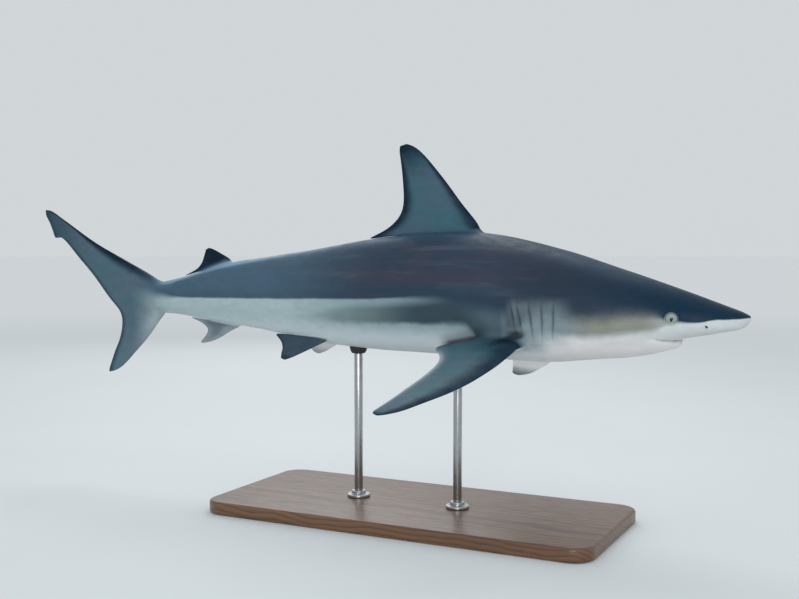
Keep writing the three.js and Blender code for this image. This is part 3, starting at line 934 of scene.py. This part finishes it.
def ramp(value, low, high, toLow=0, toHigh=1):
    inputs = {"Value": value, "From Min": low, "From Max": high, "To Min": toLow, "To Max": toHigh}
    return addNode(value.tree, "ShaderNodeMapRange", inputs, "Result", interpolation_type="SMOOTHSTEP")


# 0 up to rise, 1 from start to end and 0 again from fall on.
def stretch(value, rise, start, end, fall):
    return ramp(value, rise, start) * ramp(value, fall, end)


# 1 at a height, falling off softly to both sides.
def ridgeAt(value, middle, spread):
    return ramp(calc("ABSOLUTE", value - middle), spread, 0)


# A tone of red, green and blue up to 255, as the linear colour that a socket takes.
def linear(tone):
    channels = [c / 255 for c in tone]
    return [c / 12.92 if c <= 0.04045 else ((c + 0.055) / 1.055) ** 2.4 for c in channels] + [1]


def blend(share, a, b, mode="MIX"):
    a, b = (linear(colour) if isinstance(colour, tuple) else colour for colour in (a, b))
    inputs = {0: share, 6: a, 7: b}
    return addNode(share.tree, "ShaderNodeMix", inputs, 2, data_type="RGBA", blend_type=mode)


# Lays tones over a colour, one after another, each by its share.
def paint(colour, tones, *layers):
    for share, name in layers:
        colour = blend(share, colour, tones[name])
    return colour


def attribute(tree, name):
    return addNode(tree, "ShaderNodeAttribute", None, "Fac", attribute_name=name)


def axisOf(vector, axis):
    return addNode(vector.tree, "ShaderNodeSeparateXYZ", {0: vector}, axis)


# A height that changes along the body, read from a few named stations.
def heightAlong(s, stations, low=-100, high=100):
    whole = stations[-1][0]
    curve = newNode(s.tree, "ShaderNodeFloatCurve", {"Value": s / whole})
    points = curve.mapping.curves[0].points
    while len(points) < len(stations):
        points.new(0.5, 0.5)
    for point, (at, h) in zip(points, stations):
        point.location = (at / whole, (h - low) / (high - low))
    curve.mapping.update()
    return Field(s.tree, curve.outputs[0]) * (high - low) + low


def noise(vector, scale, detail=3, rough=0.5):
    inputs = {"Vector": vector, "Scale": scale, "Detail": detail, "Roughness": rough}
    return addNode(vector.tree, "ShaderNodeTexNoise", inputs)


# Soft uneven patches and fine grain, for every material here.
def buildUnevenness():
    group = bpy.data.node_groups.new("unevenness", "ShaderNodeTree")
    sockets = group.interface
    for name, value in (("Patch Size", 0.05), ("Grain Size", 0.002), ("Stretch", 1)):
        socket = sockets.new_socket(name=name, in_out="INPUT", socket_type="NodeSocketFloat")
        socket.default_value = value
    sockets.new_socket(name="Vector", in_out="INPUT", socket_type="NodeSocketVector")
    for name in ("Patches", "Grain"):
        sockets.new_socket(name=name, in_out="OUTPUT", socket_type="NodeSocketFloat")
    given = {socket.name: Field(group, socket) for socket in newNode(group, "NodeGroupInput").outputs}
    squash = addNode(group, "ShaderNodeCombineXYZ", {"X": 1 / given["Stretch"], "Y": 1, "Z": 1})
    inputs = {0: given["Vector"], 1: squash}
    vector = addNode(group, "ShaderNodeVectorMath", inputs, operation="MULTIPLY")
    newNode(group, "NodeGroupOutput", {
        "Patches": noise(vector, 1 / given["Patch Size"], 4, 0.55),
        "Grain": noise(vector, 1 / given["Grain Size"], 2, 0.6),
    })
    return group


unevenness = buildUnevenness()


def unevenAt(vector, patchSize, grainSize, stretched=1):
    inputs = {"Patch Size": patchSize, "Grain Size": grainSize, "Stretch": stretched, "Vector": vector}
    group = newNode(vector.tree, "ShaderNodeGroup", inputs, node_tree=unevenness)
    return [Field(vector.tree, group.outputs[name]) for name in ("Patches", "Grain")]


# A new material, its shader and the place of each point of the surface.
def newMaterial(name, **values):
    material = bpy.data.materials.new(name)
    material.use_nodes = True
    tree = material.node_tree
    shader = tree.nodes["Principled BSDF"]
    for socket, value in values.items():
        shader.inputs[socket.replace("_", " ")].default_value = value
    return material, shader, addNode(tree, "ShaderNodeTexCoord", None, "Object")


# Joins colour, roughness and relief to a material's shader; depth is the relief's in metres.
def dress(shader, colour, roughness, relief, strength, depth):
    inputs = {"Strength": strength, "Distance": depth, "Height": relief}
    fields = {"Base Color": colour, "Normal": addNode(colour.tree, "ShaderNodeBump", inputs)}
    if roughness:
        fields["Roughness"] = roughness
    for name, field in fields.items():
        colour.tree.links.new(field.socket, shader.inputs[name])


skinTones = {
    "back": (44, 61, 78), "backWarm": (64, 62, 78), "backRear": (72, 98, 116),
    # ridge and ridgeRearHighlight are painted highlights along the top of the back; headTopShade is
    # painted shade on the top of the head
    "backFront": (36, 50, 66), "streak": (82, 90, 102), "ridgeRearHighlight": (150, 176, 198),
    "ridge": (70, 104, 128), "backEdge": (42, 62, 80), "headTopShade": (6, 43, 64),
    "flank": (167, 186, 188), "flankFront": (126, 148, 156), "belly": (208, 220, 224),
    # throatUndersideLight is painted light on the underside of the throat
    "throat": (204, 209, 209), "throatUndersideLight": (228, 225, 225), "lid": (150, 160, 158),
    "cheek": (138, 141, 131), "gill": (128, 145, 150),
    "band": (54, 72, 82), "bandRear": (106, 125, 127), "bandFront": (80, 100, 110),
    "fin": (62, 100, 112), "finWarm": (74, 96, 112), "finDark": (2, 28, 48),
    # crease is the tone of painted shade in folds, slits and hollows, and also of the pores
    "finPale": (252, 252, 252), "crease": (10, 26, 36),
    "mottle": (120, 130, 140), "wisp": (70, 76, 84), "speck": (40, 48, 56),
    # heights where the markings change, by distance behind the snout
    "lowEdge": [
        (0, -5), (31, -7.5), (50, -8), (60, -9.5), (72, -12), (88, -13), (118, -12), (142, -14),
        (165, -14), (197, -16), (228, -20), (260, -21), (319, -17), (350, -22), (368, -44),
        (382, -60), (425, -62), (450, -40), (475, -24), (531, -26), (634, -29.5), (723, -33),
        (800, -30), (1600, -30),
    ],
    "lowSoft": [
        (0, 3), (50, 3), (72, 3.5), (88, 5), (118, 14), (142, 48), (165, 64), (197, 72), (228, 76),
        (260, 78), (319, 84), (350, 66), (368, 40), (382, 22), (424, 24), (455, 20), (531, 11),
        (634, 10), (723, 14), (800, 18), (1600, 18),
    ],
    "backEdgeHeight": [
        (0, -4), (380, -6), (432, 2), (480, 12), (527, 19), (587, 18), (651, 14.5), (718, 12),
        (813, 9), (940, 5.5), (1072, 3.5), (1155, 2.5), (1200, 5), (1260, 14), (1600, 14),
    ],
    "wedgeEdge": [
        (0, 17), (432, 17), (527, 12), (629, 5), (718, -3), (778, -14), (816, -20), (953, -60),
        (1600, -60),
    ],
}


def buildSkinMaterial():
    tones = skinTones
    material, shader, spot = newMaterial(
        "shark_skin", Roughness=0.4, Coat_Weight=0.02, Coat_Roughness=0.3, Specular_IOR_Level=0.12,
    )
    tree = spot.tree
    s = (snoutX - axisOf(spot, "X")) * 1000
    height = (axisOf(spot, "Z") - snoutHeight) * 1000
    patches, grain = unevenAt(spot, 0.06, 0.0016, 2.6)
    mottle, speck = unevenAt(spot, 0.014, 0.004, 1.6)
    rough = (mottle * 7 + patches * 10 - 8.5) * ramp(s, 120, 260, 0.2, 1)
    level = height + rough
    rear = ramp(s, 378, 402)
    front = 1 - rear

    # dark above the low edge
    lowEdge = heightAlong(s, tones["lowEdge"])
    half = heightAlong(s, tones["lowSoft"], 0) * 0.5
    dark = ramp(level, lowEdge - half, lowEdge + half)
    # dark above the back's own edge, which runs straight down the flank
    backEdge = heightAlong(s, tones["backEdgeHeight"])
    backSoft = ramp(s, 400, 620, 16, 2.6) + ramp(s, 1110, 1240, 0, 14)
    back = ramp(rough * 0.3 + height, backEdge - backSoft, backEdge + backSoft)
    # the pale wedge that runs forward between the two
    wedgeEdge = heightAlong(s, tones["wedgeEdge"])
    wedge = ramp(level, wedgeEdge - 9, wedgeEdge + 7) * ramp(s, 440, 640)

    # the back's own colours
    warmBand = ridgeAt(height, 56, 30) * stretch(s, 330, 430, 620, 820)
    darkBand = ridgeAt(height, 30, 17) * stretch(s, 380, 440, 640, 760)
    warm = larger(ramp(patches, 0.42, 0.7) * 0.8, warmBand * 0.7)
    streaks, wisps = unevenAt(spot, 0.02, 0.009, 11)
    backLine = [row[:2] for row in body["sections"]] + [(1600, 32)]
    nearTop = heightAlong(s, backLine, -10, 150) - height
    # painted highlight along the top of the back, where light from above catches it
    ridge = larger(
        ramp(nearTop, 20, 2) * ramp(s, 300, 700, 0, 0.6),
        ramp(nearTop, 26, 2) * stretch(s, 100, 180, 300, 420) * 0.2,
    )
    lowShade = ramp(height - backEdge, 24, 3) * rear * ramp(s, 620, 840, 0.7, 0.2)
    upper = paint(
        tones["back"], tones,
        (warm, "backWarm"),
        (ramp(streaks, 0.5, 0.7, 0, 0.5), "backEdge"),
        (ramp(streaks, 0.48, 0.3, 0, 0.45), "streak"),
        (ramp(s, 440, 300, 0, 0.8), "backFront"),
        (ramp(s, 620, 940, 0, 0.9), "backRear"),
        # painted highlights along the ridge of the back
        (ridge, "ridge"),
        (ramp(nearTop, 10, 2) * stretch(s, 760, 1000, 1180, 1215) * 0.7, "ridgeRearHighlight"),
        (larger(lowShade, darkBand * 0.8), "backEdge"),
        # painted shade: the top of the head darker, against the light falling on it from above
        (ramp(s, 300, 110, 0, 0.85) * (1 - ridge * 0.8), "headTopShade"),
    )

    # below it the pale flank, the low band and the belly
    flank = blend(ramp(s, 600, 900), tones["flankFront"], tones["flank"])
    under = blend(ramp(height, -20, -70), flank, tones["belly"])
    # painted light: the throat paler low down, where the lamps leave it in shade
    throat = blend(ramp(height, -24, -62), tones["throat"], tones["throatUndersideLight"])
    under = blend(ramp(s, 420, 260), under, throat)
    band = blend(ramp(s, 545, 690), tones["band"], tones["bandRear"])
    band = blend(ramp(s, 480, 410), band, tones["bandFront"])
    lowBand = dark * (1 - wedge) * ramp(s, 640, 860, 1, 0) * rear
    colour = blend(lowBand, under, band)
    # the cheek fades into the dark of the head, which has a firm edge only on the snout
    soft = ramp(s, 100, 165)
    cheek = blend(ramp(s, 230, 310), tones["cheek"], tones["gill"])
    colour = blend(ramp(dark, 0.02, 0.3) * front * soft, colour, cheek)
    frontDark = larger(dark * (1 - soft), ramp(dark, ramp(s, 165, 235, 0.48, 0.36), 1))
    colour = blend(back * rear + frontDark * front, colour, upper)
    # painted shadow on the body along the pectoral's inner margin
    aboveFin = height + s * 0.227 - 52.2
    finShadow = ridgeAt(aboveFin, 0, 9) + ridgeAt(aboveFin, 6, 20)
    colour = paint(
        colour, tones,
        (stretch(s + rough, 268, 305, 372, 392) * stretch(level, -70, -40, 5, 29) * 0.4, "gill"),
        # painted shadow on the throat in front of the pectoral's root
        (stretch(s, 312, 345, 378, 396) * stretch(height, -80, -60, -34, -22) * 0.65, "gill"),
        (finShadow * stretch(s, 415, 445, 500, 532) * 0.5, "crease"),
    )

    # fins
    onFin = larger(attribute(tree, "fin"), ramp(s, 1145, 1285))
    darkFin = attribute(tree, "dark")
    darkFin = darkFin + (mottle * 0.3 - 0.15) * ramp(darkFin, 0.02, 0.2)
    darkFin = larger(darkFin, ramp(s, 1380, 1500, 0, 0.4))
    finTone = paint(
        tones["fin"], tones,
        (ramp(patches, 0.35, 0.65), "finWarm"),
        (attribute(tree, "pale"), "finPale"),
        (darkFin, "finDark"),
    )
    colour = blend(onFin, colour, finTone)

    # fine mottling, pores round the snout and painted shade in the creases; the pores take the same
    # dark tone
    colour = blend(ramp(mottle, 0.3, 0.7, 0, 0.14), colour, tones["mottle"], "OVERLAY")
    cells = addNode(tree, "ShaderNodeTexVoronoi", {"Vector": spot, "Scale": 190}, "Distance")
    pores = ramp(cells, 0.12, 0.06) * ramp(s, 140, 80) * ramp(patches, 0.42, 0.55)
    # the lids stand out paler than the head
    fromEye = distance(s - eyeForm["s"], height - eyeForm["h"])
    colour = paint(
        colour, tones,
        (ramp(wisps, 0.55, 0.75, 0, 0.1), "wisp"),
        (ramp(speck, 0.62, 0.75, 0, 0.1), "speck"),
        (pores * 0.5, "crease"),
        (ramp(fromEye, 11.9, 10, 0, 0.5), "lid"),
        (ramp(attribute(tree, "crease"), 0.1, 1, 0, 0.92), "crease"),
    )

    rays = calc("SINE", attribute(tree, "across") * 260) * onFin * 0.16
    relief = grain * 0.5 + patches * 1.2 + rays - pores
    dress(shader, colour, ramp(mottle, 0.3, 0.7, 0.38, 0.52), relief, 0.5, 0.0006)
    return material


def buildEyeMaterial():
    material, shader, spot = newMaterial(
        "eye", Roughness=0.25, Coat_Weight=0.35, Coat_Roughness=0.03, Specular_IOR_Level=0.2,
    )
    tree = spot.tree
    wide, tall = eyeball["pupil"]
    across, up = attribute(tree, "irisAcross"), attribute(tree, "irisUp")
    fromMiddle = distance(across, up)
    pupil = ramp(distance(across / wide, up / tall), 1.15, 0.92)
    inputs = {"X": calc("ARCTAN2", up, across) * 6, "Y": fromMiddle}
    fibres = noise(addNode(tree, "ShaderNodeCombineXYZ", inputs), 1.6, 3, 0.6)
    colour = paint(
        eyeball["iris"], eyeball,
        (ramp(fibres, 0.3, 0.7), "irisPale"),
        (ramp(fromMiddle, 4.5, 2.6, 0, 0.45), "irisInner"),
        (ramp(fromMiddle, 8.2, 10.2, 0, 0.7), "irisRim"),
        (pupil, "pupilTone"),
    )
    _, grain = unevenAt(spot, 0.004, 0.0006)
    dress(shader, colour, ramp(grain, 0.3, 0.7, 0.18, 0.34), fibres, 0.3, 0.0002)
    return material


standTones = {
    "woodDark": (66, 44, 30), "woodLight": (120, 84, 56),
    "steel": (176, 178, 180), "steelDull": (140, 142, 146),
    "rubber": (30, 31, 33), "rubberDull": (48, 49, 51),
    "pithHeight": 0.14, "ringsPerMetre": 130,
}


def buildWood():
    material, shader, spot = newMaterial(
        "stand_wood", Roughness=0.35, Coat_Weight=0.25, Coat_Roughness=0.2,
    )
    patches, grain = unevenAt(spot, 0.03, 0.0022, 14)
    # growth rings round a pith above the board, pulled about by a slow drift
    side = noise(spot, 3) * 0.09 + axisOf(spot, "Y")
    fromPith = distance(side, axisOf(spot, "Z") - standTones["pithHeight"])
    late = calc("FRACT", fromPith * standTones["ringsPerMetre"]) ** 2.5
    tone = grain * 0.5 + late * 0.45
    colour = blend(ramp(tone, 0.1, 0.85), standTones["woodLight"], standTones["woodDark"])
    colour = blend(ramp(patches, 0.3, 0.7, 0, 0.4), colour, standTones["woodDark"])
    dress(shader, colour, ramp(grain, 0.2, 0.8, 0.3, 0.48), tone, 0.2, 0.0003)
    return material


def buildSteel():
    material, shader, spot = newMaterial("stand_steel", Metallic=1, Roughness=0.3)
    turned = addNode(spot.tree, "ShaderNodeMapping", {"Vector": spot, "Scale": (40, 40, 900)})
    brush = noise(turned, 1, 2, 0.6)
    patches, _ = unevenAt(spot, 0.02, 0.001)
    colour = blend(ramp(patches, 0.3, 0.7, 0, 0.25), standTones["steel"], standTones["steelDull"])
    dress(shader, colour, ramp(brush, 0.25, 0.75, 0.26, 0.36), brush, 0.06, 0.0001)
    return material


def buildRubber():
    material, shader, spot = newMaterial("stand_rubber", Roughness=0.7)
    patches, grain = unevenAt(spot, 0.008, 0.0008)
    colour = blend(ramp(patches, 0.3, 0.7, 0, 0.5), standTones["rubber"], standTones["rubberDull"])
    dress(shader, colour, ramp(patches, 0.3, 0.7, 0.6, 0.8), grain, 0.4, 0.0003)
    return material


for pieces, buildMaterial in (
    ([skin], buildSkinMaterial), (eyes, buildEyeMaterial), ([board], buildWood),
    (steelPieces, buildSteel), (cups, buildRubber),
):
    material = buildMaterial()
    for piece in pieces:
        piece.data.materials.append(material)
print("materials done")

studio = {
    "camera": (1.0330, -1.8274, 0.5237), "look": (-0.44539, 0.89357, -0.05629), "lens": 48.95,
    # where each lamp stands, what it faces, its size and power
    "lamps": {
        "overhead": ((-0.2, 1.0, 2.2), (0.0, 0.0, 0.4), 1.2, 10),
        "front": ((1.9, -3.9, 1.4), (0.1, 0.0, 0.35), 1.9, 7.5),
        "rear": ((-1.6, 2.4, 1.8), (0.0, 0.0, 0.4), 2.0, 10),
        "glint": ((1.25, -2.1, 0.66), (0.64, -0.08, 0.39), 0.16, 1.2),
    },
    "frontSpread": 1.0,  # narrows the front lamp, so that it leaves no bright patch on the floor
    "air": (0.88, 0.93, 0.96, 1), "airStrength": 0.72, "floorRadius": 30,
    "floor": (226, 230, 232), "floorPatch": (218, 223, 226), "farFloor": (250, 251, 251),
}


# Puts a camera or lamp at a place, facing along a direction.
def aim(data, location, direction):
    holder = addObject(data.name, data)
    holder.location = location
    holder.rotation_euler = Vector(direction).to_track_quat("-Z", "Y").to_euler()
    return holder


cameraData = bpy.data.cameras.new("camera")
cameraData.lens = studio["lens"]
cameraData.sensor_width = 36
bpy.context.scene.camera = aim(cameraData, studio["camera"], studio["look"])
bpy.context.scene.view_settings.view_transform = "Standard"

for name, (location, target, size, power) in studio["lamps"].items():
    lamp = bpy.data.lights.new(name, "AREA")
    lamp.energy = power
    lamp.shape = "DISK"
    lamp.size = size
    if name == "front":
        lamp.spread = studio["frontSpread"]
    aim(lamp, location, Vector(target) - Vector(location))

world = bpy.data.worlds.new("studio")
world.use_nodes = True
sky = world.node_tree.nodes["Background"]
sky.inputs["Color"].default_value = studio["air"]
sky.inputs["Strength"].default_value = studio["airStrength"]
bpy.context.scene.world = world


def buildFloor():
    bm = bmesh.new()
    bmesh.ops.create_circle(bm, cap_ends=True, segments=64, radius=studio["floorRadius"])
    for face in bm.faces:
        if face.normal.z < 0:
            face.normal_flip()
    mesh = bpy.data.meshes.new("floor")
    bm.to_mesh(mesh)
    bm.free()
    floor = addObject("floor", mesh)
    material, shader, spot = newMaterial("floor", Roughness=0.85)
    patches, grain = unevenAt(spot, 0.4, 0.004)
    away = addNode(spot.tree, "ShaderNodeVectorMath", {0: spot}, "Value", operation="LENGTH")
    colour = blend(ramp(patches, 0.3, 0.7, 0, 0.2), studio["floor"], studio["floorPatch"])
    colour = blend(ramp(away, 1.5, 7), colour, studio["farFloor"])
    dress(shader, colour, None, grain, 0.1, 0.0004)
    floor.data.materials.append(material)
    return floor


buildFloor()
print("studio done")
